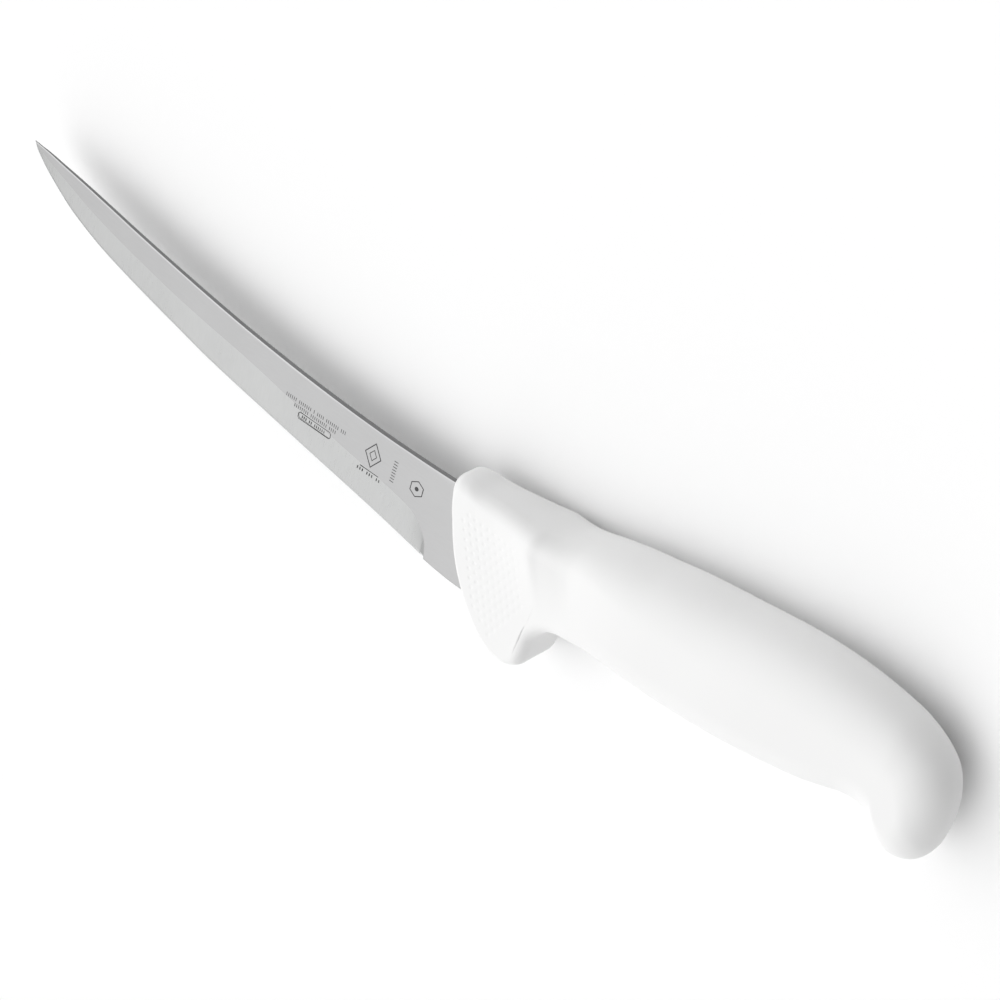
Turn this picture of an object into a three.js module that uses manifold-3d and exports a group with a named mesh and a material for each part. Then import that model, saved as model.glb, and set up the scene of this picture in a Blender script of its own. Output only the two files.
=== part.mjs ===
// Curved boning knife: a stamped steel blade with a hidden tang, and a grip
// moulded over the tang in one shot. Millimetres, +Z up.
//
// The knife lies on its side: +X runs from the tip to the butt, +Y from the
// cutting edge to the spine, +Z out of the left face of the blade. Profiles are
// written about a point on the blade 14 mm ahead of the grip, on the blade's
// mid-plane, and the finished knife is moved so that the centre of its
// footprint is at the origin.
import * as THREE from "three";
import { mergeVertices } from "three/addons/utils/BufferGeometryUtils.js";
import Module from "manifold-3d";

// ---- driving dimensions ----------------------------------------------------
const TIP = [-138.2, 22.45];        // point of the blade
const BLADE_T = 1.6;                // stock thickness at the heel and tang
const BEVEL_H = 0.75;               // height of the sharpened bevel
const BEVEL_T = 0.42;               // thickness behind the sharpened bevel
const SPINE_EASE = 0.3;             // eased corners along the spine
const EDGE_END = 7.6;               // X where the ground edge stops
const HEEL_X = 28.0;                // X of the shoulder inside the grip
const TANG_END = 113.0;             // X of the rounded end of the tang
const TANG_W = 14.0;                // width of the tang
const KEY_HOLES = [46.0, 72.0, 98.0]; // X of the holes the grip keys through
const KEY_R = 3.6;                  // radius of those holes
const GAP = 0.3;                    // clearance between steel and grip

// spine line, X then Y, tip to grip
const SPINE = [
  [-138.2, 22.5], [-132.5, 22.0], [-127.5, 21.27], [-120, 20.2], [-110, 18.6],
  [-100, 16.92], [-90, 15.38], [-80, 13.92], [-70, 12.58], [-60, 11.38],
  [-50, 10.42], [-40, 9.6], [-30, 8.98], [-20, 8.55], [-10, 8.35], [0, 8.42],
  [8, 8.62], [16, 8.9], [24, 9.1],
];
// cutting edge, X then Y, tip to heel
const EDGE = [
  [-138.2, 22.4], [-137.5, 21.2], [-135, 18.9], [-132.5, 17.0], [-127.5, 13.8],
  [-122.5, 11.0], [-117.5, 8.85], [-112.5, 7.0], [-107.5, 5.45], [-100, 3.5],
  [-90, 1.15], [-80, -1.05], [-70, -3.2], [-60, -4.93], [-50, -6.48],
  [-40, -8.05], [-30, -9.6], [-20, -11.1], [-10, -12.65], [0, -14.38],
  [7.5, -15.7], [12.5, -16.3], [17.5, -16.65], [24, -16.7],
];
// upper limit of the flat grind on each face
const GRIND = [
  [-138.2, 22.46], [-132.5, 20.0], [-125, 17.6], [-115, 14.4], [-105, 11.9],
  [-95, 9.8], [-85, 7.9], [-72, 5.9], [-60, 4.4], [-48, 2.5], [-40, 1.05],
  [-30, -0.55], [-20, -2.0], [-10, -3.4], [-6, -4.0], [-2, -4.75], [1.5, -6.0],
  [4, -8.0], [6, -10.2], [7.1, -12.6], [7.6, -15.4],
];
// thickness at the spine
const THICK = [
  [-138.2, 0.3], [-132.5, 0.8], [-125, 1.02], [-115, 1.16], [-100, 1.26],
  [-80, 1.38], [-60, 1.48], [-40, 1.55], [-20, 1.6], [0, 1.6],
];
// centre line of the tang
const TANG_LINE = [[28, -1.0], [113, 10.6]];

// grip outline in the blade's plane, clockwise from the nose over the back
const GRIP = [
  [12.85, 9.4], [12.15, 12.1], [13.1, 13.8], [16.0, 14.3], [20.8, 14.1],
  [28.8, 14.65], [36.8, 15.15], [44.9, 16.25], [52.9, 18.85], [60.7, 21.2],
  [68.6, 22.75], [76.5, 24.4], [84.5, 25.65], [92.4, 26.65], [100.4, 27.75],
  [108.5, 28.65], [116.7, 29.05], [124.9, 28.8], [133.0, 27.85],
  [139.2, 26.45], [145.4, 23.6], [149.8, 19.9], [152.4, 14.9], [153.4, 9.5],
  [153.4, 4.0], [152.5, -0.9], [150.0, -4.5], [146.4, -5.85], [143.0, -4.95],
  [140.1, -2.6], [137.2, -0.2], [133.6, 0.9], [129.8, 0.5], [126.0, -0.75],
  [119.4, -2.75], [111.7, -4.2], [104.0, -5.3], [96.1, -6.1],
  [88.3, -6.75], [80.4, -7.2], [72.5, -7.2], [64.7, -6.9], [58.2, -6.8],
  [53.4, -7.1], [49.7, -7.85], [46.9, -10.2], [45.5, -13.8], [45.45, -17.6],
  [44.4, -20.9], [41.5, -22.5], [37.9, -22.75], [34.2, -21.65],
  [30.4, -19.4], [26.1, -15.3], [22.4, -10.85], [19.4, -6.3], [16.9, -1.2],
  [15.1, 3.6], [13.9, 6.8],
];
const NOSE_X = 27.0;                // columns of the side faces start here
const BUTT_X = 138.0;               // and end here
const MID_LINE = [[27, -1.5], [50, 4.5], [80, 8.5], [110, 11.4], [138, 11.6]];
// half thickness of the grip
const HALF_T = [
  [13, 6.4], [20, 7.0], [30, 7.4], [40, 7.9], [50, 8.8], [56, 9.8],
  [62, 10.6], [68, 11.05], [75, 11.2], [92, 11.2], [100, 11.0], [108, 10.6],
  [116, 10.15], [124, 9.7], [132, 9.3], [140, 9.1], [153, 8.7],
];
// raised shoulder behind the textured pads: extra half thickness by the
// distance from its crest, full at the back and fading towards the guard
const SHOULDER = [
  [-18, 0], [-12, 0.35], [-9, 0.7], [-6, 1.1], [-3, 1.65], [0, 2.1],
  [3, 1.5], [6, 0.95], [9, 0.4], [12, 0.05], [14, 0],
];
const CREST_X = 39.2;
const CREST_Y = 10;
const CREST_SLANT = 0.43;
const SHOULDER_FADE = [-8, 11];
// depth of the rolled border, along the back and along the belly
const ROLL_BACK = [[13, 4.4], [17, 3.8], [24, 3.5], [33, 3.5], [40, 4.0], [50, 5.9], [62, 9.4], [76, 12.0], [92, 13.4], [126, 13.0], [140, 12.5], [153, 12]];
const ROLL_BELLY = [[13, 1.2], [30, 1.5], [38, 1.8], [41.5, 2.1], [44, 2.6], [47, 3.0], [50, 3.6], [54, 4.9], [62, 7.6], [76, 9.0], [128, 8.6], [140, 8.0], [153, 9.0]];
// how deep the belly's border turns in thickness, against its depth
const BELLY_TURN = [[13, 1.08], [38, 1.08], [43, 1.3], [50, 1.25], [58, 1.08], [153, 1.08]];

// ---- helpers ---------------------------------------------------------------
const lerp = (a, b, t) => a + (b - a) * t;

// piecewise cubic through the table, with slopes that never overshoot
function curve(table) {
  const n = table.length;
  const slope = [];
  for (let i = 0; i < n - 1; i++) {
    slope.push((table[i + 1][1] - table[i][1]) / (table[i + 1][0] - table[i][0]));
  }
  const m = [slope[0]];
  for (let i = 1; i < n - 1; i++) {
    const a = slope[i - 1];
    const b = slope[i];
    const h0 = table[i][0] - table[i - 1][0];
    const h1 = table[i + 1][0] - table[i][0];
    m.push(a * b <= 0 ? 0 : (3 * (h0 + h1)) / ((2 * h1 + h0) / a + (h1 + 2 * h0) / b));
  }
  m.push(slope[n - 2]);
  return (x) => {
    if (x <= table[0][0]) return table[0][1];
    if (x >= table[n - 1][0]) return table[n - 1][1];
    let i = 0;
    while (x > table[i + 1][0]) i++;
    const h = table[i + 1][0] - table[i][0];
    const t = (x - table[i][0]) / h;
    const t2 = t * t;
    const t3 = t2 * t;
    return (2 * t3 - 3 * t2 + 1) * table[i][1] + (t3 - 2 * t2 + t) * h * m[i]
      + (3 * t2 - 2 * t3) * table[i + 1][1] + (t3 - t2) * h * m[i + 1];
  };
}

function geometryFrom(points, faces) {
  const g = new THREE.BufferGeometry();
  g.setAttribute("position", new THREE.Float32BufferAttribute(points.flat(), 3));
  g.setIndex(faces.flat());
  return g;
}

function weld(g) {
  const bare = g.index ? g.clone() : g;
  bare.deleteAttribute("normal");
  bare.deleteAttribute("uv");
  const merged = mergeVertices(bare, 1e-5);
  const idx = merged.index.array;
  const keep = [];
  for (let i = 0; i < idx.length; i += 3) {
    const [a, b, c] = [idx[i], idx[i + 1], idx[i + 2]];
    if (a !== b && b !== c && a !== c) keep.push(a, b, c);
  }
  merged.setIndex(keep);
  return merged;
}

const wasm = await Module();
wasm.setup();

function solid(g) {
  const w = weld(g);
  return new wasm.Manifold(new wasm.Mesh({
    numProp: 3,
    vertProperties: new Float32Array(w.attributes.position.array),
    triVerts: new Uint32Array(w.index.array),
  }));
}

function toGeometry(body) {
  const m = body.getMesh();
  const pos = new Float32Array(m.numVert * 3);
  for (let i = 0; i < m.numVert; i++) {
    for (let k = 0; k < 3; k++) pos[3 * i + k] = m.vertProperties[i * m.numProp + k];
  }
  const g = new THREE.BufferGeometry();
  g.setAttribute("position", new THREE.BufferAttribute(pos, 3));
  g.setIndex(Array.from(m.triVerts));
  return g;
}

// closed tube through a list of equal-length rings, fanned shut at both ends
function loft(rings) {
  const n = rings[0].length;
  const points = rings.flat();
  const faces = [];
  for (let i = 0; i < rings.length - 1; i++) {
    for (let j = 0; j < n; j++) {
      const a = i * n + j;
      const b = i * n + ((j + 1) % n);
      faces.push([a, b + n, b], [a, a + n, b + n]);
    }
  }
  const last = (rings.length - 1) * n;
  for (let j = 1; j < n - 1; j++) {
    faces.push([0, j, j + 1], [last, last + j + 1, last + j]);
  }
  return geometryFrom(points, faces);
}

// ---- blade and tang --------------------------------------------------------
const spineY = curve(SPINE);
const edgeY = curve(EDGE);
const grindY = curve(GRIND);
const thick = curve(THICK);

function tangMid(x) {
  const [[x0, y0], [x1, y1]] = TANG_LINE;
  return lerp(y0, y1, (x - x0) / (x1 - x0));
}

// half width of the tang, rounded off at its end
function tangHalf(x) {
  const r = TANG_W / 2;
  const over = x - (TANG_END - r);
  return over <= 0 ? r : Math.sqrt(Math.max(r * r - over * over, 0.04));
}

// lower and upper limits of the steel at X, tip to tang end
function steelLimits(x) {
  if (x <= HEEL_X - 2.5) return [edgeY(x), spineY(x)];
  const t = THREE.MathUtils.smoothstep(x, HEEL_X - 2.5, HEEL_X + 2.5);
  return [
    lerp(edgeY(x), tangMid(x) - tangHalf(x), t),
    lerp(spineY(x), tangMid(x) + tangHalf(x), t),
  ];
}

const bladeStations = [
  -138.2, -137.6, -136.8, -135.5, -134, -132, -129.5, -127, -124, -120.5, -117,
  -113, -109, -104, -99, -94, -88, -82, -76, -70, -64, -58, -52, -46, -40, -34,
  -28, -22, -16, -11, -7, -4, -1.5, 0.5, 2.2, 3.6, 4.8, 5.8, 6.6, 7.2, EDGE_END,
  9, 12, 16, 21, HEEL_X - 2.5, HEEL_X - 1.5, HEEL_X - 0.7, HEEL_X,
  HEEL_X + 0.7, HEEL_X + 1.5, HEEL_X + 2.5, 38, 52, 66, 80, 94,
  TANG_END - 7, TANG_END - 4, TANG_END - 2, TANG_END - 0.8, TANG_END,
];

function bladeRing(x) {
  const [lo, hi] = steelLimits(x);
  const t = x < 0 ? thick(x) : BLADE_T;
  const h = hi - lo;
  const ease = Math.min(SPINE_EASE, h * 0.2);
  const z = t / 2;
  let g;
  let b;
  let bz;
  if (x < EDGE_END) {
    const run = THREE.MathUtils.smoothstep(x, EDGE_END - 2.4, EDGE_END);
    g = THREE.MathUtils.clamp(grindY(x), lo + h * 0.02, hi - h * 0.3);
    b = Math.min(BEVEL_H, (g - lo) * 0.5);
    bz = lerp(Math.min(BEVEL_T / 2, z * 0.6), z - 0.05, run);
  } else {
    g = lo + 0.25;
    b = 0.08;
    bz = z - 0.05;
  }
  const half = [[lo + b, bz], [Math.max(g, lo + b * 1.4), z], [hi - ease, z], [hi, z - ease * 0.7]];
  const ring = [[x, lo, 0]];
  for (const [y, zz] of half) ring.push([x, y, zz]);
  for (const [y, zz] of half.slice().reverse()) ring.push([x, y, -zz]);
  return ring;
}

function keyCylinder(x, r, len) {
  const c = new THREE.CylinderGeometry(r, r, len, 28);
  c.rotateX(Math.PI / 2);
  c.translate(x, tangMid(x), 0);
  return solid(c);
}

function buildBlade() {
  const rings = bladeStations.map(bladeRing);
  let steel = solid(loft(rings));
  for (const x of KEY_HOLES) steel = steel.subtract(keyCylinder(x, KEY_R, 8));
  return toGeometry(steel);
}

// the space the steel needs inside the grip, with the clearance all round
function buildTangSpace() {
  const from = 4;
  const xs = bladeStations.filter((x) => x >= HEEL_X - 2.5 && x < TANG_END - 0.5);
  const all = [from, 12, 16, 21, ...xs, TANG_END - 0.4, TANG_END + GAP];
  const z = BLADE_T / 2 + GAP;
  const rings = all.map((x) => {
    let lo = Infinity;
    let hi = -Infinity;
    for (const dx of [-GAP, 0, GAP]) {
      const [a, b] = steelLimits(Math.min(x + dx, TANG_END));
      lo = Math.min(lo, a);
      hi = Math.max(hi, b);
    }
    lo -= GAP * 1.1;
    hi += GAP * 1.1;
    return [[x, lo, z], [x, hi, z], [x, hi, -z], [x, lo, -z]];
  });
  let space = solid(loft(rings));
  for (const x of KEY_HOLES) space = space.subtract(keyCylinder(x, KEY_R - GAP, 8));
  return space;
}

// ---- grip ------------------------------------------------------------------
const midY = curve(MID_LINE);
const halfT = curve(HALF_T);
const rollBack = curve(ROLL_BACK);
const rollBelly = curve(ROLL_BELLY);
const bellyTurn = curve(BELLY_TURN);
const shoulder = curve(SHOULDER);

// half thickness at a point of the side face
function sideT(x, y) {
  const crest = CREST_X + Math.max(CREST_Y - y, 0) * CREST_SLANT;
  const fade = THREE.MathUtils.smoothstep(y, SHOULDER_FADE[0], SHOULDER_FADE[1]);
  return halfT(x) + shoulder(x - crest) * fade;
}

function gripOutline() {
  const path = new THREE.CatmullRomCurve3(
    GRIP.map(([x, y]) => new THREE.Vector3(x, y, 0)), true, "centripetal");
  return path.getSpacedPoints(1600).slice(0, -1).map((p) => [p.x, p.y]);
}

// columns across the side faces, closer together round the finger guard
const columns = [
  NOSE_X, 30.5, 34, 37, 39.8, 42.2, 44.2, 45.8, 47, 48, 48.8, 49.6, 50.6, 52,
  54, 57, 61, 66, 71.5, 77.5, 84, 91, 98, 105, 112, 118.5, 124.5, 128.5, 131.5,
  134, 136, BUTT_X,
];
const NOSE_FAN = 16;
const BUTT_FAN = 18;
const ROLL = [0, 0.22, 0.45, 0.66, 0.84, 1];
const INNER = [0.3, 0.65];

function buildGripSkin() {
  const line = gripOutline();
  const n = line.length;
  const at = (i) => line[((i % n) + n) % n];
  // index on the outline where it passes a column, over the back or the belly
  const crossing = (x, back) => {
    for (let i = 0; i < n; i++) {
      const a = at(i);
      const b = at(i + 1);
      const up = b[0] > a[0];
      if (up === back && (a[0] - x) * (b[0] - x) <= 0 && a[0] !== b[0]) {
        return i + (x - a[0]) / (b[0] - a[0]);
      }
    }
    throw new Error("outline misses column " + x);
  };
  const point = (s) => {
    const i = Math.floor(s);
    const f = s - i;
    return [lerp(at(i)[0], at(i + 1)[0], f), lerp(at(i)[1], at(i + 1)[1], f)];
  };
  const inward = (s) => {
    const a = point(s - 3);
    const b = point(s + 3);
    const l = Math.hypot(b[0] - a[0], b[1] - a[1]);
    return [(b[1] - a[1]) / l, -(b[0] - a[0]) / l];
  };
  const stations = [];
  for (const x of columns) stations.push({ s: crossing(x, true), mid: [x, midY(x)], back: 1 });
  const topEnd = crossing(BUTT_X, true);
  const lowEnd = crossing(BUTT_X, false);
  for (let i = 1; i < BUTT_FAN; i++) {
    stations.push({ s: lerp(topEnd, lowEnd, i / BUTT_FAN), mid: [BUTT_X, midY(BUTT_X)], back: 1 - i / BUTT_FAN });
  }
  for (const x of columns.slice().reverse()) stations.push({ s: crossing(x, false), mid: [x, midY(x)], back: 0 });
  const lowStart = crossing(NOSE_X, false);
  const topStart = crossing(NOSE_X, true) + n;
  for (let i = 1; i < NOSE_FAN; i++) {
    const f = i / NOSE_FAN;
    stations.push({ s: lerp(lowStart, topStart, f), mid: [NOSE_X, midY(NOSE_X)], back: THREE.MathUtils.smoothstep(f, 0.5, 0.74), aim: THREE.MathUtils.smoothstep(f, 0.4, 0.56) * (1 - THREE.MathUtils.smoothstep(f, 0.86, 1)) });
  }

  const points = [];
  const m = stations.length;
  const rows = [];
  const addRow = (make) => {
    rows.push(stations.map((st) => {
      points.push(make(st));
      return points.length - 1;
    }));
  };
  const rolled = (st, a, side) => {
    const o = point(st.s);
    const inn = inward(st.s);
    const toMid = [st.mid[0] - o[0], st.mid[1] - o[1]];
    const reach = Math.hypot(toMid[0], toMid[1]);
    const w = Math.max(THREE.MathUtils.smoothstep(o[0], 60, 130), st.aim || 0);
    const d = [lerp(inn[0], toMid[0] / reach, w), lerp(inn[1], toMid[1] / reach, w)];
    const len = Math.hypot(d[0], d[1]);
    const depth = Math.min(lerp(rollBelly(o[0]), rollBack(o[0]), st.back), reach * lerp(0.8, 0.9, st.back));
    const bite = depth * (1 - Math.cos(a * Math.PI / 2));
    const x = o[0] + (d[0] / len) * bite;
    const y = o[1] + (d[1] / len) * bite;
    const turn = lerp(bellyTurn(o[0]), 1.08, st.back);
    const round = Math.min(0.92, (depth * turn) / sideT(o[0], o[1]));
    const z = sideT(x, y) * (1 - round + round * Math.sin(a * Math.PI / 2));
    return [x, y, side * z];
  };
  const sides = {};
  for (const side of [1, -1]) {
    const start = rows.length;
    for (const a of ROLL) addRow((st) => rolled(st, a, side));
    for (const f of INNER) {
      addRow((st) => {
        const e = rolled(st, 1, side);
        const x = lerp(e[0], st.mid[0], f);
        const y = lerp(e[1], st.mid[1], f);
        return [x, y, side * sideT(x, y)];
      });
    }
    addRow((st) => [st.mid[0], st.mid[1], side * sideT(st.mid[0], st.mid[1])]);
    sides[side] = rows.slice(start);
  }
  const faces = [];
  const strip = (r0, r1, flip) => {
    for (let j = 0; j < m; j++) {
      const k = (j + 1) % m;
      const quad = [r0[j], r0[k], r1[k], r1[j]];
      if (flip) faces.push([quad[0], quad[2], quad[1]], [quad[0], quad[3], quad[2]]);
      else faces.push([quad[0], quad[1], quad[2]], [quad[0], quad[2], quad[3]]);
    }
  };
  for (const side of [1, -1]) {
    const r = sides[side];
    for (let i = 0; i < r.length - 1; i++) strip(r[i], r[i + 1], side > 0);
  }
  strip(sides[-1][0], sides[1][0], true);
  return geometryFrom(points, faces);
}

function buildGrip() {
  return toGeometry(solid(buildGripSkin()).subtract(buildTangSpace()));
}

// ---- assembly --------------------------------------------------------------
const materials = {
  blade: new THREE.MeshStandardMaterial({ color: 0xb9bcbe, roughness: 0.35, metalness: 1.0 }),
  handle: new THREE.MeshStandardMaterial({ color: 0xf2f2f0, roughness: 0.45, metalness: 0.0 }),
};

const knife = new THREE.Group();
knife.name = "boning_knife";
const bodies = { blade: buildBlade(), handle: buildGrip() };
const box = new THREE.Box3();
for (const g of Object.values(bodies)) {
  g.computeBoundingBox();
  box.union(g.boundingBox);
}
for (const [name, g] of Object.entries(bodies)) {
  g.translate(-(box.min.x + box.max.x) / 2, -(box.min.y + box.max.y) / 2, -box.min.z);
  g.computeVertexNormals();
  const mesh = new THREE.Mesh(g, materials[name]);
  mesh.name = name;
  knife.add(mesh);
}

export default knife;
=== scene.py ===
import math

import bmesh
import bpy
import numpy as np
from mathutils import Matrix, Vector


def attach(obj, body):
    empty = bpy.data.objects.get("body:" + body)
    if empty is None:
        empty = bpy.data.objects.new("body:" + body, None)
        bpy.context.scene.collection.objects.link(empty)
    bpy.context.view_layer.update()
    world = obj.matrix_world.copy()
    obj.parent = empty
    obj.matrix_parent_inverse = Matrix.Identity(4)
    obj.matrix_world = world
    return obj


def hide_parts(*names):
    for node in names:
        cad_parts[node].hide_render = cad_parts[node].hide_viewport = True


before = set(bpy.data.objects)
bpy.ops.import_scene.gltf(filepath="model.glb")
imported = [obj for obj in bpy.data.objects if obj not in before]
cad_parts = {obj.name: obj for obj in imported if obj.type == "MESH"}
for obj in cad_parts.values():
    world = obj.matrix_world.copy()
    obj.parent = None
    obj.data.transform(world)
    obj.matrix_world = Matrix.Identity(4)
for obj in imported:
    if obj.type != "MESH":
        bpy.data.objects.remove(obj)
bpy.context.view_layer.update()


# ---------------------------------------------------------------- dimensions
# Profiles are in millimetres about a point on the blade 14 mm ahead of the
# grip; OFFSET takes them to the row frame.
OFFSET = np.array([-7.65646, -3.08014, 11.2])

BLADE_T = 1.6
BEVEL_H = 0.75
BEVEL_T = 0.42
EDGE_END = 7.6
HEEL_X = 28.0
TANG_END = 113.0
TANG_W = 14.0
KEY_HOLES = [46.0, 72.0, 98.0]
KEY_R = 3.6
TANG_LINE = [(28.0, -1.0), (113.0, 10.6)]

SPINE = [
  [-138.2, 22.5], [-132.5, 22.0], [-127.5, 21.27], [-120, 20.2], [-110, 18.6],
  [-100, 16.92], [-90, 15.38], [-80, 13.92], [-70, 12.58], [-60, 11.38],
  [-50, 10.42], [-40, 9.6], [-30, 8.98], [-20, 8.55], [-10, 8.35], [0, 8.42],
  [8, 8.62], [16, 8.9], [24, 9.1],
]
EDGE = [
  [-138.2, 22.4], [-137.5, 21.2], [-135, 18.9], [-132.5, 17.0], [-127.5, 13.8],
  [-122.5, 11.0], [-117.5, 8.85], [-112.5, 7.0], [-107.5, 5.45], [-100, 3.5],
  [-90, 1.15], [-80, -1.05], [-70, -3.2], [-60, -4.93], [-50, -6.48],
  [-40, -8.05], [-30, -9.6], [-20, -11.1], [-10, -12.65], [0, -14.38],
  [7.5, -15.7], [12.5, -16.3], [17.5, -16.65], [24, -16.7],
]
GRIND = [
  [-138.2, 22.46], [-132.5, 20.0], [-125, 17.6], [-115, 14.4], [-105, 11.9],
  [-95, 9.8], [-85, 7.9], [-72, 5.9], [-60, 4.4], [-48, 2.5], [-40, 1.05],
  [-30, -0.55], [-20, -2.0], [-10, -3.4], [-6, -4.0], [-2, -4.75], [1.5, -6.0],
  [4, -8.0], [6, -10.2], [7.1, -12.6], [7.6, -15.4],
]
THICK = [
  [-138.2, 0.3], [-132.5, 0.8], [-125, 1.02], [-115, 1.16], [-100, 1.26],
  [-80, 1.38], [-60, 1.48], [-40, 1.55], [-20, 1.6], [0, 1.6],
]
GRIP = [
  [12.85, 9.4], [12.15, 12.1], [13.1, 13.8], [16.0, 14.3], [20.8, 14.1],
  [28.8, 14.65], [36.8, 15.15], [44.9, 16.25], [52.9, 18.85], [60.7, 21.2],
  [68.6, 22.75], [76.5, 24.4], [84.5, 25.65], [92.4, 26.65], [100.4, 27.75],
  [108.5, 28.65], [116.7, 29.05], [124.9, 28.8], [133.0, 27.85],
  [139.2, 26.45], [145.4, 23.6], [149.8, 19.9], [152.4, 14.9], [153.4, 9.5],
  [153.4, 4.0], [152.5, -0.9], [150.0, -4.5], [146.4, -5.85], [143.0, -4.95],
  [140.1, -2.6], [137.2, -0.2], [133.6, 0.9], [129.8, 0.5], [126.0, -0.75],
  [119.4, -2.75], [111.7, -4.2], [104.0, -5.3], [96.1, -6.1],
  [88.3, -6.75], [80.4, -7.2], [72.5, -7.2], [64.7, -6.9], [58.2, -6.8],
  [53.4, -7.1], [49.7, -7.85], [46.9, -10.2], [45.5, -13.8], [45.45, -17.6],
  [44.4, -20.9], [41.5, -22.5], [37.9, -22.75], [34.2, -21.65],
  [30.4, -19.4], [26.1, -15.3], [22.4, -10.85], [19.4, -6.3], [16.9, -1.2],
  [15.1, 3.6], [13.9, 6.8],
]
NOSE_X = 27.0
BUTT_X = 138.0
MID_LINE = [[27, -1.5], [50, 4.5], [80, 8.5], [110, 11.4], [138, 11.6]]
HALF_T = [
  [13, 6.4], [20, 7.0], [30, 7.4], [40, 7.9], [50, 8.8], [56, 9.8],
  [62, 10.6], [68, 11.05], [75, 11.2], [92, 11.2], [100, 11.0], [108, 10.6],
  [116, 10.15], [124, 9.7], [132, 9.3], [140, 9.1], [153, 8.7],
]
ROLL_BACK = [[13, 4.4], [17, 3.8], [24, 3.5], [33, 3.5], [40, 4.0], [50, 5.9], [62, 9.4], [76, 12.0], [92, 13.4], [126, 13.0], [140, 12.5], [153, 12]]
ROLL_BELLY = [[13, 1.2], [30, 1.5], [38, 1.8], [41.5, 2.1], [44, 2.6], [47, 3.0], [50, 3.6], [54, 4.9], [62, 7.6], [76, 9.0], [128, 8.6], [140, 8.0], [153, 9.0]]
BELLY_TURN = [[13, 1.08], [38, 1.08], [43, 1.3], [50, 1.25], [58, 1.08], [153, 1.08]]
SHOULDER = [
  [-18, 0], [-12, 0.35], [-9, 0.7], [-6, 1.1], [-3, 1.65], [0, 2.1],
  [3, 1.5], [6, 0.95], [9, 0.4], [12, 0.05], [14, 0],
]


# ------------------------------------------------------------------- helpers
def curve(table):
    """Piecewise cubic through the table, with slopes that never overshoot."""
    t = np.array(table, float)
    x, y = t[:, 0], t[:, 1]
    h = np.diff(x)
    s = np.diff(y) / h
    m = np.empty(len(x))
    m[0], m[-1] = s[0], s[-1]
    for i in range(1, len(x) - 1):
        a, b = s[i - 1], s[i]
        m[i] = 0 if a * b <= 0 else 3 * (h[i - 1] + h[i]) / (
            (2 * h[i] + h[i - 1]) / a + (h[i] + 2 * h[i - 1]) / b
        )

    def f(q):
        q = np.clip(np.asarray(q, float), x[0], x[-1])
        i = np.clip(np.searchsorted(x, q, side="right") - 1, 0, len(x) - 2)
        u = (q - x[i]) / h[i]
        return (
            (2 * u**3 - 3 * u**2 + 1) * y[i] + (u**3 - 2 * u**2 + u) * h[i] * m[i]
            + (3 * u**2 - 2 * u**3) * y[i + 1] + (u**3 - u**2) * h[i] * m[i + 1]
        )

    return f


def smooth(x, a, b):
    u = np.clip((np.asarray(x, float) - a) / (b - a), 0, 1)
    return u * u * (3 - 2 * u)


def make_object(name, points, faces, shade_angle=None, material_index=None):
    """Mesh object from points in profile millimetres."""
    co = (np.asarray(points, float) + OFFSET) * 0.001
    mesh = bpy.data.meshes.new(name)
    mesh.from_pydata([tuple(p) for p in co], [], [tuple(int(i) for i in f) for f in faces])
    if material_index is not None:
        mesh.polygons.foreach_set("material_index", np.asarray(material_index, np.int32))
    mesh.polygons.foreach_set("use_smooth", [True] * len(mesh.polygons))
    if shade_angle is not None:
        mesh.set_sharp_from_angle(angle=math.radians(shade_angle))
    mesh.update()
    o = bpy.data.objects.new(name, mesh)
    bpy.context.scene.collection.objects.link(o)
    return o


def cut(o, cutter, solver="EXACT"):
    """Boolean difference, applied at once; the cutter is thrown away."""
    mod = o.modifiers.new("cut", "BOOLEAN")
    mod.operation = "DIFFERENCE"
    mod.solver = solver
    mod.object = cutter
    bpy.context.view_layer.update()
    dg = bpy.context.evaluated_depsgraph_get()
    new = bpy.data.meshes.new_from_object(o.evaluated_get(dg))
    o.modifiers.clear()
    old = o.data
    o.data = new
    bpy.data.meshes.remove(old)
    tool = cutter.data
    bpy.data.objects.remove(cutter)
    bpy.data.meshes.remove(tool)


# ----------------------------------------------------------------- materials
def nodes_of(name):
    m = bpy.data.materials.new(name)
    m.use_nodes = True
    nt = m.node_tree
    bsdf = nt.nodes["Principled BSDF"]
    return m, nt, bsdf


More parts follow.
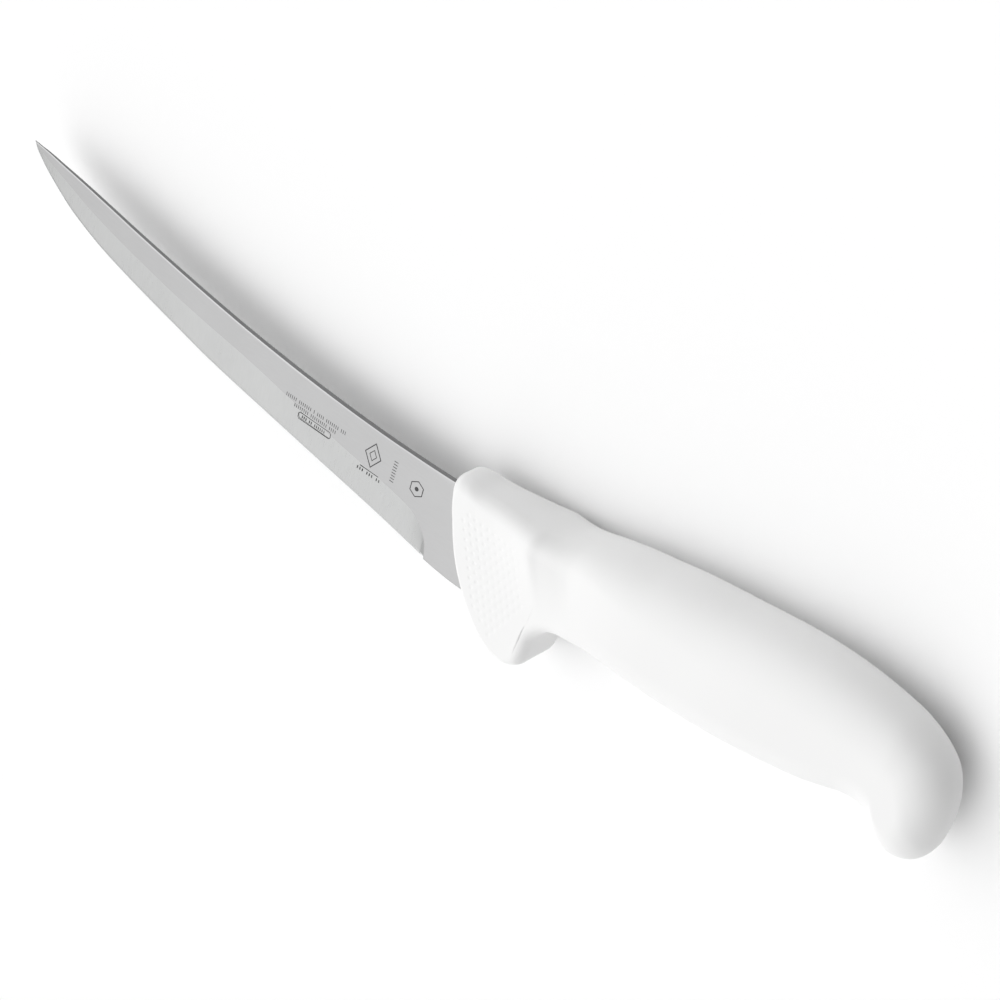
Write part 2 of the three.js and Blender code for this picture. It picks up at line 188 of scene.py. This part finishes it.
def steel(name, low, high, rough, grain=(1.0, 60.0, 60.0), metal=1.0, spread=0.05):
    """Satin stainless steel. grain stretches the fine belt lines."""
    m, nt, bsdf = nodes_of(name)
    bsdf.inputs["Metallic"].default_value = metal
    tc = nt.nodes.new("ShaderNodeTexCoord")
    mp = nt.nodes.new("ShaderNodeMapping")
    mp.inputs["Scale"].default_value = grain
    nt.links.new(tc.outputs["Object"], mp.inputs["Vector"])
    lines = nt.nodes.new("ShaderNodeTexNoise")
    lines.inputs["Scale"].default_value = 60.0
    lines.inputs["Detail"].default_value = 5.0
    lines.inputs["Roughness"].default_value = 0.65
    nt.links.new(mp.outputs["Vector"], lines.inputs["Vector"])
    cloud = nt.nodes.new("ShaderNodeTexNoise")
    cloud.inputs["Scale"].default_value = 45.0
    cloud.inputs["Detail"].default_value = 2.0
    nt.links.new(tc.outputs["Object"], cloud.inputs["Vector"])
    both = nt.nodes.new("ShaderNodeMix")
    both.data_type = "FLOAT"
    both.inputs[0].default_value = 0.35
    nt.links.new(lines.outputs["Fac"], both.inputs[2])
    nt.links.new(cloud.outputs["Fac"], both.inputs[3])
    ramp = nt.nodes.new("ShaderNodeValToRGB")
    ramp.color_ramp.elements[0].position = 0.3
    ramp.color_ramp.elements[0].color = (*low, 1)
    ramp.color_ramp.elements[1].position = 0.7
    ramp.color_ramp.elements[1].color = (*high, 1)
    nt.links.new(both.outputs[0], ramp.inputs["Fac"])
    nt.links.new(ramp.outputs["Color"], bsdf.inputs["Base Color"])
    rr = nt.nodes.new("ShaderNodeMapRange")
    rr.inputs["From Min"].default_value = 0.3
    rr.inputs["From Max"].default_value = 0.7
    rr.inputs["To Min"].default_value = rough - spread
    rr.inputs["To Max"].default_value = rough + spread
    nt.links.new(both.outputs[0], rr.inputs["Value"])
    nt.links.new(rr.outputs["Result"], bsdf.inputs["Roughness"])
    return m


def plastic(name, colour, rough):
    """Moulded white polypropylene: a faint mottle and a fine spark texture."""
    m, nt, bsdf = nodes_of(name)
    bsdf.inputs["Metallic"].default_value = 0.0
    bsdf.inputs["IOR"].default_value = 1.49
    tc = nt.nodes.new("ShaderNodeTexCoord")
    cloud = nt.nodes.new("ShaderNodeTexNoise")
    cloud.inputs["Scale"].default_value = 38.0
    cloud.inputs["Detail"].default_value = 3.0
    nt.links.new(tc.outputs["Object"], cloud.inputs["Vector"])
    ramp = nt.nodes.new("ShaderNodeValToRGB")
    ramp.color_ramp.elements[0].position = 0.35
    ramp.color_ramp.elements[0].color = (*[c * 0.993 for c in colour], 1)
    ramp.color_ramp.elements[1].position = 0.65
    ramp.color_ramp.elements[1].color = (*colour, 1)
    nt.links.new(cloud.outputs["Fac"], ramp.inputs["Fac"])
    nt.links.new(ramp.outputs["Color"], bsdf.inputs["Base Color"])
    fine = nt.nodes.new("ShaderNodeTexNoise")
    fine.inputs["Scale"].default_value = 1400.0
    fine.inputs["Detail"].default_value = 2.0
    nt.links.new(tc.outputs["Object"], fine.inputs["Vector"])
    rr = nt.nodes.new("ShaderNodeMapRange")
    rr.inputs["From Min"].default_value = 0.3
    rr.inputs["From Max"].default_value = 0.7
    rr.inputs["To Min"].default_value = rough - 0.03
    rr.inputs["To Max"].default_value = rough + 0.03
    nt.links.new(fine.outputs["Fac"], rr.inputs["Value"])
    nt.links.new(rr.outputs["Result"], bsdf.inputs["Roughness"])
    bump = nt.nodes.new("ShaderNodeBump")
    bump.inputs["Strength"].default_value = 0.05
    bump.inputs["Distance"].default_value = 0.00003
    nt.links.new(fine.outputs["Fac"], bump.inputs["Height"])
    nt.links.new(bump.outputs["Normal"], bsdf.inputs["Normal"])
    return m


mat_flat = steel("steel_flat", (0.474, 0.474, 0.476), (0.508, 0.508, 0.510), 0.34, (4.0, 60.0, 60.0))
mat_ground = steel("steel_ground", (0.595, 0.600, 0.598), (0.640, 0.645, 0.642), 0.30, (60.0, 4.0, 4.0))
# edge bevel: partly a real finer honed finish with lower roughness, partly a painted highlight, a base colour
# raised well above the steel's own to make the bright edge line
mat_bevel_painted_highlight = steel("steel_bevel_painted_highlight", (0.82, 0.83, 0.83), (0.91, 0.92, 0.92), 0.22, (60.0, 8.0, 8.0))
# spine steel: painted shade, a base colour far darker than the blade's own steel, standing in for the shade and
# dark reflection along the spine
mat_spine_painted_shade = steel("steel_spine_painted_shade", (0.185, 0.185, 0.187), (0.235, 0.235, 0.237), 0.40, (60.0, 60.0, 4.0))
mat_tang = steel("steel_tang", (0.42, 0.42, 0.42), (0.5, 0.5, 0.5), 0.45, (4.0, 60.0, 60.0))
mat_grip = plastic("grip_plastic", (0.86, 0.86, 0.858), 0.42)
mat_etch, _nt, _b = nodes_of("etched_mark")
_b.inputs["Metallic"].default_value = 0.3
_b.inputs["Roughness"].default_value = 0.6
_n = _nt.nodes.new("ShaderNodeTexNoise")
_n.inputs["Scale"].default_value = 900.0
_r = _nt.nodes.new("ShaderNodeValToRGB")
_r.color_ramp.elements[0].color = (0.035, 0.035, 0.036, 1)
_r.color_ramp.elements[1].color = (0.075, 0.075, 0.076, 1)
_nt.links.new(_n.outputs["Fac"], _r.inputs["Fac"])
_nt.links.new(_r.outputs["Color"], _b.inputs["Base Color"])

# --------------------------------------------------------------------- blade
spine_y, edge_y, grind_y, thick_t = curve(SPINE), curve(EDGE), curve(GRIND), curve(THICK)


def tang_mid(x):
    (x0, y0), (x1, y1) = TANG_LINE
    return y0 + (y1 - y0) * (np.asarray(x, float) - x0) / (x1 - x0)


def tang_half(x):
    r = TANG_W / 2
    over = np.asarray(x, float) - (TANG_END - r)
    return np.where(over <= 0, r, np.sqrt(np.maximum(r * r - over * over, 0.04)))


def steel_limits(x):
    t = smooth(x, HEEL_X - 2.5, HEEL_X + 2.5)
    lo = edge_y(x) * (1 - t) + (tang_mid(x) - tang_half(x)) * t
    hi = spine_y(x) * (1 - t) + (tang_mid(x) + tang_half(x)) * t
    return lo, hi


def build_blade():
    xs = np.unique(np.round(np.concatenate([
        np.linspace(-138.2, -136.0, 18), np.linspace(-136.0, -128.0, 26),
        np.linspace(-128.0, -2.0, 180), np.linspace(-2.0, 8.6, 84),
        np.linspace(8.6, 24.0, 18), np.linspace(24.0, 32.0, 30),
        np.linspace(32.0, 106.0, 30), np.linspace(106.0, 113.0, 24),
    ]), 4))
    lo, hi = steel_limits(xs)
    z = np.where(xs < 0, thick_t(xs), BLADE_T) / 2
    h = hi - lo
    run = smooth(xs, EDGE_END - 2.0, EDGE_END)
    ground = xs < EDGE_END
    g = np.where(ground, np.clip(grind_y(xs), lo + h * 0.02, hi - h * 0.3), lo + 0.25)
    b = np.where(ground, np.minimum(BEVEL_H, (g - lo) * 0.5), 0.08)
    bz = np.where(ground, np.minimum(BEVEL_T / 2, z * 0.6) * (1 - run) + (z - 0.05) * run, z - 0.05)
    g = np.maximum(g, lo + b * 1.4)
    # eased spine corner, broad towards the point and tighter near the grip
    ease = np.minimum(0.34 - 0.16 * smooth(xs, -45, -15), h * 0.2)
    soft = np.minimum(0.10, (g - lo - b) * 0.3)
    ground_z = lambda y: bz + (z - bz) * (y - (lo + b)) / (g - lo - b)
    rows = []   # (y, z, zone) per row up the left half
    rows.append((lo, np.full_like(xs, 0.0), 2))
    rows.append((lo + b * 0.12, bz * 0.12, 2))
    rows.append((lo + b * 0.9, bz * 0.9, 2))
    rows.append((lo + b, bz, 1))
    y = lo + b + np.minimum(0.08, (g - lo - b) * 0.2)
    rows.append((y, ground_z(y), 1))
    for f in (0.25, 0.5, 0.75):
        y = lo + b + (g - lo - b) * f
        rows.append((y, ground_z(y), 1))
    y = g - soft
    rows.append((y, ground_z(y), 1))
    rows.append((g, z, 0))
    top = hi - ease
    for f in (0.02, 0.25, 0.5, 0.75, 0.96):
        y = g + (top - g) * f
        rows.append((np.where(f == 0.02, g + np.minimum(soft, (top - g) * 0.1), y), z, 0))
    # the spine's rounding past about 52 degrees and its top take zone 3, the darkened steel of painted shade
    for a in (0, 18, 36, 54, 72, 90):
        a = math.radians(a)
        rows.append((top + ease * math.sin(a), z - ease * (1 - math.cos(a)), 0 if a < 0.9 else 3))
    rows.append((hi, (z - ease) * 0.92, 3))
    rows.append((hi, (z - ease) * 0.35, 3))
    n_half = len(rows)
    ring_y = [r[0] for r in rows] + [r[0] for r in rows[::-1][:-1]]
    ring_z = [r[1] for r in rows] + [-r[1] for r in rows[::-1][:-1]]
    zones = [r[2] for r in rows]
    zones = zones + zones[::-1][1:] + [2] if False else zones
    n = len(ring_y)
    pts = np.empty((len(xs), n, 3))
    for j in range(n):
        pts[:, j, 0] = xs
        pts[:, j, 1] = ring_y[j]
        pts[:, j, 2] = ring_z[j]
    faces, mats = [], []

    def zone(j):
        """Zone of the strip between ring rows j and j + 1."""
        k = j if j < n_half - 1 else (n - 1 - j)
        if j == n_half - 1:
            return 3
        a = rows[min(k, n_half - 2)][2]
        return a

    for i in range(len(xs) - 1):
        mid = (xs[i] + xs[i + 1]) / 2
        for j in range(n):
            k = (j + 1) % n
            faces.append((i * n + j, i * n + k, (i + 1) * n + k, (i + 1) * n + j)[::-1])
            zn = zone(j)
            if mid > 26:
                zn = 4
            elif mid > EDGE_END and zn in (1, 2):
                zn = 0
            mats.append(zn)
    last = (len(xs) - 1) * n
    faces.append(tuple(range(n)))
    mats.append(3)
    faces.append(tuple(last + j for j in range(n))[::-1])
    mats.append(4)
    o = make_object("blade_steel", pts.reshape(-1, 3), faces, 24, mats)
    for m in (mat_flat, mat_ground, mat_bevel_painted_highlight, mat_spine_painted_shade, mat_tang):
        o.data.materials.append(m)
    return o


def disc(x, y, r, half, n=64):
    a = np.linspace(0, 2 * np.pi, n, endpoint=False)
    ring = np.c_[x + r * np.cos(a), y + r * np.sin(a)]
    pts = [(p[0], p[1], -half) for p in ring] + [(p[0], p[1], half) for p in ring]
    faces = [tuple(range(n))[::-1], tuple(range(n, 2 * n))]
    faces += [(i, (i + 1) % n, n + (i + 1) % n, n + i) for i in range(n)]
    return pts, faces


def join_parts(parts):
    pts, faces = [], []
    for p, f in parts:
        k = len(pts)
        pts += list(p)
        faces += [tuple(i + k for i in q) for q in f]
    return pts, faces


blade = build_blade()
cut(blade, make_object("holes", *join_parts([disc(x, float(tang_mid(x)), KEY_R, 3.0) for x in KEY_HOLES])))


# ---------------------------------------------------------------------- grip
def catmull_closed(pts, per=120):
    """Centripetal Catmull-Rom through a closed list of points."""
    p = np.array(pts, float)
    n = len(p)
    out = []
    for i in range(n):
        p0, p1, p2, p3 = p[i - 1], p[i], p[(i + 1) % n], p[(i + 2) % n]
        d0, d1, d2 = (math.sqrt(np.linalg.norm(b - a)) for a, b in ((p0, p1), (p1, p2), (p2, p3)))
        t1 = ((p1 - p0) / d0 - (p2 - p0) / (d0 + d1) + (p2 - p1) / d1) * d1
        t2 = ((p2 - p1) / d1 - (p3 - p1) / (d1 + d2) + (p3 - p2) / d2) * d1
        u = np.linspace(0, 1, per, endpoint=False)[:, None]
        out.append(p1 + t1 * u + (-3 * p1 + 3 * p2 - 2 * t1 - t2) * u**2 + (2 * p1 - 2 * p2 + t1 + t2) * u**3)
    q = np.vstack(out)
    s = np.r_[0, np.cumsum(np.hypot(*np.diff(np.vstack([q, q[:1]]), axis=0).T))]
    m = 9000
    t = np.linspace(0, s[-1], m, endpoint=False)
    qq = np.vstack([q, q[:1]])
    return np.c_[np.interp(t, s, qq[:, 0]), np.interp(t, s, qq[:, 1])]


half_t, mid_y = curve(HALF_T), curve(MID_LINE)
belly_turn, shoulder = curve(BELLY_TURN), curve(SHOULDER)
roll_back, roll_belly = curve(ROLL_BACK), curve(ROLL_BELLY)

# textured pad of the finger guard: staggered dimples inside this outline
PITCH = 2.1
DIMPLE_R = 0.66
DIMPLE_D = 0.135
PAD = np.array([
    [18.2, 8.6], [36.0, 8.6], [37.6, 5.0], [39.4, 1.0], [41.4, -4.2], [40.2, -8.5],
    [38.6, -13.0], [36.4, -17.5], [34.4, -18.6], [30.6, -16.2], [27.0, -12.6],
    [23.4, -7.0], [20.6, -1.0], [18.8, 4.0],
])


def side_t(x, y):
    """Half thickness at a point of the side face, with the shoulder behind the pad."""
    crest = 39.2 + np.maximum(10.0 - y, 0) * 0.43
    return half_t(x) + shoulder(x - crest) * smooth(y, -8, 11)


def inside(px, py, poly):
    hit = np.zeros(np.shape(px), bool)
    n = len(poly)
    for i in range(n):
        (x0, y0), (x1, y1) = poly[i], poly[(i + 1) % n]
        if y0 == y1:
            continue
        c = ((y0 > py) != (y1 > py)) & (px < (x1 - x0) * (py - y0) / (y1 - y0) + x0)
        hit ^= c
    return hit


def pad_relief(x, y):
    """Depth of the dimples and of the pad's step at a point of the side face."""
    d = np.zeros_like(x)
    for oy, ox in ((0.0, 0.0), (PITCH, PITCH / 2)):
        row = np.round((y - 7.6 - oy) / (2 * PITCH)) * 2 * PITCH + 7.6 + oy
        col = np.round((x - 20.0 - ox) / PITCH) * PITCH + 20.0 + ox
        r = np.hypot(x - col, y - row)
        ok = inside(col, row, PAD)
        bowl = np.clip(1 - (r / DIMPLE_R) ** 2, 0, 1) ** 1.3
        d = np.maximum(d, np.where(ok, bowl * DIMPLE_D, 0))
    return d


def build_grip():
    line = catmull_closed(GRIP)
    n = len(line)

    def crossing(x, back):
        a = line[:, 0]
        b = np.roll(a, -1)
        hit = np.nonzero(((b > a) == back) & ((a - x) * (b - x) <= 0) & (a != b))[0][0]
        return hit + (x - a[hit]) / (b[hit] - a[hit])

    def point(s):
        i = np.floor(s).astype(int)
        f = (s - i)[:, None]
        return line[i % n] * (1 - f) + line[(i + 1) % n] * f

    cols = np.unique(np.round(np.concatenate([
        np.arange(NOSE_X, 54, 0.3), np.arange(54, 62, 0.6), np.arange(62, 126, 1.6),
        np.arange(126, BUTT_X + 0.01, 0.6), [BUTT_X],
    ]), 4))
    cols = cols[np.r_[True, np.diff(cols) > 0.05]]
    k = len(cols)
    top = np.array([crossing(x, True) for x in cols])
    low = np.array([crossing(x, False) for x in cols])
    nb, nf = 110, 210
    fb = np.linspace(0, 1, nb + 1)[1:-1]
    ff = np.linspace(0, 1, nf + 1)[1:-1]
    s = np.concatenate([top, top[-1] + (low[-1] - top[-1]) * fb, low[::-1], low[0] + (top[0] + n - low[0]) * ff])
    mx = np.concatenate([cols, np.full(len(fb), BUTT_X), cols[::-1], np.full(len(ff), NOSE_X)])
    back = np.concatenate([np.ones(k), 1 - fb, np.zeros(k), smooth(ff, 0.5, 0.74)])
    mid = np.c_[mx, mid_y(mx)]
    o = point(s)
    a, b = point(s - 14), point(s + 14)
    t = b - a
    t /= np.hypot(t[:, 0], t[:, 1])[:, None]
    inn = np.c_[t[:, 1], -t[:, 0]]
    to = mid - o
    reach = np.hypot(to[:, 0], to[:, 1])
    aim = np.concatenate([np.zeros(len(s) - len(ff)), smooth(ff, 0.4, 0.56) * (1 - smooth(ff, 0.86, 1))])
    w = np.maximum(smooth(o[:, 0], 60, 130), aim)[:, None]
    d = inn * (1 - w) + to / reach[:, None] * w
    d /= np.hypot(d[:, 0], d[:, 1])[:, None]
    depth = np.minimum(roll_belly(o[:, 0]) * (1 - back) + roll_back(o[:, 0]) * back, reach * (0.8 + 0.1 * back))
    turn = belly_turn(o[:, 0]) * (1 - back) + 1.08 * back
    rnd = np.minimum(0.92, depth * turn / side_t(o[:, 0], o[:, 1]))
    rolls = np.linspace(0, 1, 15)
    inner = np.linspace(0, 1, 57)[1:]
    m = len(s)
    sides = []
    for side in (1, -1):
        rows = []
        for r in rolls:
            bite = depth * (1 - math.cos(r * math.pi / 2))
            xy = o + d * bite[:, None]
            z = side_t(xy[:, 0], xy[:, 1]) * (1 - rnd + rnd * math.sin(r * math.pi / 2))
            rows.append(np.c_[xy, z])
        e = rows[-1][:, :2]
        for f in inner:
            xy = e * (1 - f) + mid * f
            rows.append(np.c_[xy, side_t(xy[:, 0], xy[:, 1])])
        rows = np.array(rows)
        flat = rows[len(rolls) - 4:]
        flat[:, :, 2] -= pad_relief(flat[:, :, 0], flat[:, :, 1])
        rows[:, :, 2] *= side
        sides.append(rows)
    pts = np.concatenate([sides[0].reshape(-1, 3), sides[1].reshape(-1, 3)])
    nr = len(rolls) + len(inner)
    faces = []
    idx = np.arange(m)
    nxt = (idx + 1) % m

    def strip(r0, r1, flip):
        q = np.c_[r0 + idx, r0 + nxt, r1 + nxt, r1 + idx]
        return q[:, ::-1] if flip else q

    for i in range(nr - 1):
        faces.append(strip(i * m, (i + 1) * m, True))
        faces.append(strip((nr + i) * m, (nr + i + 1) * m, False))
    faces.append(strip(nr * m, 0, True))
    grip = make_object("grip", pts, np.concatenate(faces))
    bm = bmesh.new()
    bm.from_mesh(grip.data)
    bmesh.ops.remove_doubles(bm, verts=bm.verts, dist=1e-6)
    bmesh.ops.dissolve_degenerate(bm, edges=bm.edges, dist=1e-7)
    bmesh.ops.recalc_face_normals(bm, faces=bm.faces)
    bm.to_mesh(grip.data)
    bm.free()
    return grip


def tang_space(gap):
    """The steel's own outline grown by gap, from ahead of the grip to the tang's end."""
    xs = np.concatenate([[4, 12, 16, 21], np.linspace(25, 31, 25), [38, 52, 66, 80, 94, 106],
                         np.linspace(107, TANG_END, 12)])
    z = BLADE_T / 2 + gap
    pts = []
    for x in xs:
        lo, hi = steel_limits(np.clip(np.array([x - gap, x, x + gap]), -200, TANG_END))
        pts += [(x, lo.min() - gap, z), (x, hi.max() + gap, z), (x, hi.max() + gap, -z), (x, lo.min() - gap, -z)]
    lo, hi = steel_limits(np.array([TANG_END]))
    pts += [(TANG_END + gap, lo[0], z), (TANG_END + gap, hi[0], z), (TANG_END + gap, hi[0], -z), (TANG_END + gap, lo[0], -z)]
    faces = []
    k = len(pts) // 4
    for i in range(k - 1):
        for j in range(4):
            jj = (j + 1) % 4
            faces.append((i * 4 + j, (i + 1) * 4 + j, (i + 1) * 4 + jj, i * 4 + jj))
    faces.append((0, 1, 2, 3))
    faces.append(tuple(4 * (k - 1) + j for j in (3, 2, 1, 0)))
    return pts, faces


grip = build_grip()
space = make_object("space", *tang_space(0.04))
cut(space, make_object("posts", *join_parts([disc(x, float(tang_mid(x)), KEY_R - 0.04, 3.0) for x in KEY_HOLES])))
cut(grip, space)
grip.data.materials.clear()
grip.data.materials.append(mat_grip)
grip.data.polygons.foreach_set("material_index", np.zeros(len(grip.data.polygons), np.int32))
grip.data.polygons.foreach_set("use_smooth", [True] * len(grip.data.polygons))
grip.data.set_sharp_from_angle(angle=math.radians(38))
grip.data.update()


# --------------------------------------------------------------------- marks
def face_z(x):
    return np.where(np.asarray(x) < 0, thick_t(x), BLADE_T) / 2


def slab(poly, lift=0.012):
    """Thin closed slab on the left face over a convex polygon."""
    n = len(poly)
    pts = [(x, y, float(face_z(x)) - 0.01) for x, y in poly] + [(x, y, float(face_z(x)) + lift) for x, y in poly]
    faces = [tuple(range(n))[::-1], tuple(range(n, 2 * n))]
    faces += [(i, (i + 1) % n, n + (i + 1) % n, n + i) for i in range(n)]
    return pts, faces


def bar(x0, y0, x1, y1, w):
    d = np.array([x1 - x0, y1 - y0], float)
    d /= np.linalg.norm(d)
    p = np.array([-d[1], d[0]]) * w / 2
    a, b = np.array([x0, y0]), np.array([x1, y1])
    return slab([tuple(a - p), tuple(b - p), tuple(b + p), tuple(a + p)])


def loop(poly, w):
    """A closed outline of width w, as one mitred band."""
    q = np.array(poly, float)
    n = len(q)
    out = []
    for i in range(n):
        a = q[i] - q[i - 1]
        b = q[(i + 1) % n] - q[i]
        a, b = a / np.linalg.norm(a), b / np.linalg.norm(b)
        na, nb = np.array([a[1], -a[0]]), np.array([b[1], -b[0]])
        m = na + nb
        m = m / (m @ na) if abs(m @ na) > 1e-6 else na
        out.append(m)
    out = np.array(out)
    o, i_ = q + out * w / 2, q - out * w / 2
    pts = []
    for ring in (o, i_):
        for dz in (-0.01, 0.012):
            pts += [(x, y, float(face_z(x)) + dz) for x, y in ring]
    faces = []
    for i in range(n):
        j = (i + 1) % n
        faces.append((i, j, n + j, n + i))
        faces.append((2 * n + j, 2 * n + i, 3 * n + i, 3 * n + j))
        faces.append((n + i, n + j, 3 * n + j, 3 * n + i))
        faces.append((j, i, 2 * n + i, 2 * n + j))
    return pts, faces


def build_marks():
    parts = []
    sx, sy = 0.45, 0.58

    def ticks(x0, x1, y0, y1, groups, w=0.17, pitch=0.62):
        x = x0
        for g in groups:
            for _ in range(g):
                if x > x1:
                    return
                parts.append(bar(x + sx, y0 + sy, x + sx, y1 + sy, w))
                x += pitch
            x += pitch * 0.9

    ticks(-43.4, -23.7, 1.1, 2.1, (6, 7, 1, 4, 7, 9))
    ticks(-40.3, -26.7, -0.35, 0.6, (8, 9, 9))
    x0, x1, y0, y1 = -38.6 + sx, -27.85 + sx, -2.65 + sy, -0.85 + sy
    parts.append(loop([(x0 + 0.4, y0), (x1 - 0.4, y0), (x1, y0 + 0.4), (x1, y1 - 0.4), (x1 - 0.4, y1), (x0 + 0.4, y1), (x0, y1 - 0.4), (x0, y0 + 0.4)], 0.17))
    ticks(-37.3, -29.0, -2.15, -1.35, (3, 2, 6))
    # plain lozenge
    cx, cy = -14.4 + sx, 0.9 + sy
    parts.append(loop([(cx, cy - 3.4), (cx + 2.5, cy), (cx, cy + 3.4), (cx - 2.5, cy)], 0.26))
    parts.append(loop([(cx, cy - 1.5), (cx + 1.1, cy), (cx, cy + 1.5), (cx - 1.1, cy)], 0.2))
    parts.append(bar(cx - 3.0, cy - 4.55, cx + 3.0, cy - 4.55, 0.2))
    ticks(-18.0, -10.2, -5.0, -4.2, (3, 3, 3), 0.2, 0.8)
    # column of short dashes
    for i in range(8):
        y = -2.4 + i * 0.8
        parts.append(bar(-8.1 + sx, y + sy, -6.9 + sx, y + sy, 0.2))
    # plain hexagon with a dot
    a = np.radians(np.arange(6) * 60 + 30)
    parts.append(loop([(sx + 2.15 * math.cos(t), sy + 2.15 * math.sin(t)) for t in a], 0.24))
    a = np.radians(np.arange(12) * 30)
    parts.append(slab([(sx + 0.6 * math.cos(t), sy + 0.6 * math.sin(t)) for t in a]))
    o = make_object("etched_marks", *join_parts(parts), 30)
    o.data.materials.append(mat_etch)
    return o


marks = build_marks()

for piece in (blade, grip, marks):
    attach(piece, "root")
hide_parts("blade")
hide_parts("handle")

# --------------------------------------------------------------- stage, light
floor_mesh = bpy.data.meshes.new("floor")
s = 30.0
floor_mesh.from_pydata([(-s, -s, 0), (s, -s, 0), (s, s, 0), (-s, s, 0)], [], [(0, 1, 2, 3)])
floor = bpy.data.objects.new("floor", floor_mesh)
bpy.context.scene.collection.objects.link(floor)
mat_floor, _nt, _b = nodes_of("floor_white")
_b.inputs["Base Color"].default_value = (0.95, 0.95, 0.95, 1)
_b.inputs["Roughness"].default_value = 0.9
_b.inputs["Specular IOR Level"].default_value = 0.1
floor_mesh.materials.append(mat_floor)

# soft boxes all round, brighter overhead and from the blade's side, and
# nearly dark off the butt
SKY = [  # azimuth, elevation, tightness, strength of each soft lobe of light
    (120, 12, 14, 0.454),
    (150, 12, 14, 0.825),
    (180, 12, 14, 0.768),
    (210, 12, 14, 0.327),
    (240, 12, 14, 0.272),
    (270, 12, 14, 1.042),
    (300, 12, 14, 0.658),
    (112.5, 42, 10, 0.553),
    (157.5, 42, 10, 1.235),
    (202.5, 42, 10, 0.570),
    (247.5, 42, 10, 0.536),
    (292.5, 42, 10, 1.125),
    (45, 70, 12, 0.249),
    (135, 70, 12, 0.921),
    (225, 70, 12, 0.915),
    (315, 70, 12, 0.717),
    (0, 90, 14, 0.831),
]

world = bpy.data.worlds.new("studio")
bpy.context.scene.world = world
world.use_nodes = True
nt = world.node_tree
tc = nt.nodes.new("ShaderNodeTexCoord")
total = None
for az, el, power, strength in SKY:
    az, el = math.radians(az), math.radians(el)
    dot = nt.nodes.new("ShaderNodeVectorMath")
    dot.operation = "DOT_PRODUCT"
    dot.inputs[1].default_value = (math.cos(az) * math.cos(el), math.sin(az) * math.cos(el), math.sin(el))
    nt.links.new(tc.outputs["Generated"], dot.inputs[0])
    ahead = nt.nodes.new("ShaderNodeMath")
    ahead.operation = "MAXIMUM"
    ahead.inputs[1].default_value = 0.0
    nt.links.new(dot.outputs["Value"], ahead.inputs[0])
    lobe = nt.nodes.new("ShaderNodeMath")
    lobe.operation = "POWER"
    lobe.inputs[1].default_value = power
    nt.links.new(ahead.outputs[0], lobe.inputs[0])
    add = nt.nodes.new("ShaderNodeMath")
    add.operation = "MULTIPLY_ADD"
    add.inputs[1].default_value = strength
    nt.links.new(lobe.outputs[0], add.inputs[0])
    if total is None:
        add.inputs[2].default_value = 0.0
    else:
        nt.links.new(total, add.inputs[2])
    total = add.outputs[0]
nt.links.new(total, nt.nodes["Background"].inputs["Strength"])
nt.nodes["Background"].inputs["Color"].default_value = (1, 1, 1, 1)

cam_data = bpy.data.cameras.new("camera")
cam = bpy.data.objects.new("camera", cam_data)
bpy.context.scene.collection.objects.link(cam)
cam_data.sensor_width = 36.0
cam_data.lens = 108.0
cam_data.dof.use_dof = False
cam.matrix_world = Matrix((
    (0.7495169, -0.51051531, 0.42142442, (317.708 + OFFSET[0]) * 0.001),
    (0.24737475, 0.80648575, 0.53701627, (387.050 + OFFSET[1]) * 0.001),
    (-0.61402781, -0.298253, 0.73076329, (511.432 + OFFSET[2]) * 0.001),
    (0, 0, 0, 1),
))
cam_data.clip_start = 0.01
cam_data.clip_end = 100
bpy.context.scene.camera = cam
bpy.context.scene.view_settings.view_transform = "Standard"
bpy.context.scene.view_settings.look = "None"
bpy.context.scene.view_settings.exposure = 0.0
bpy.context.scene.view_settings.gamma = 1.0
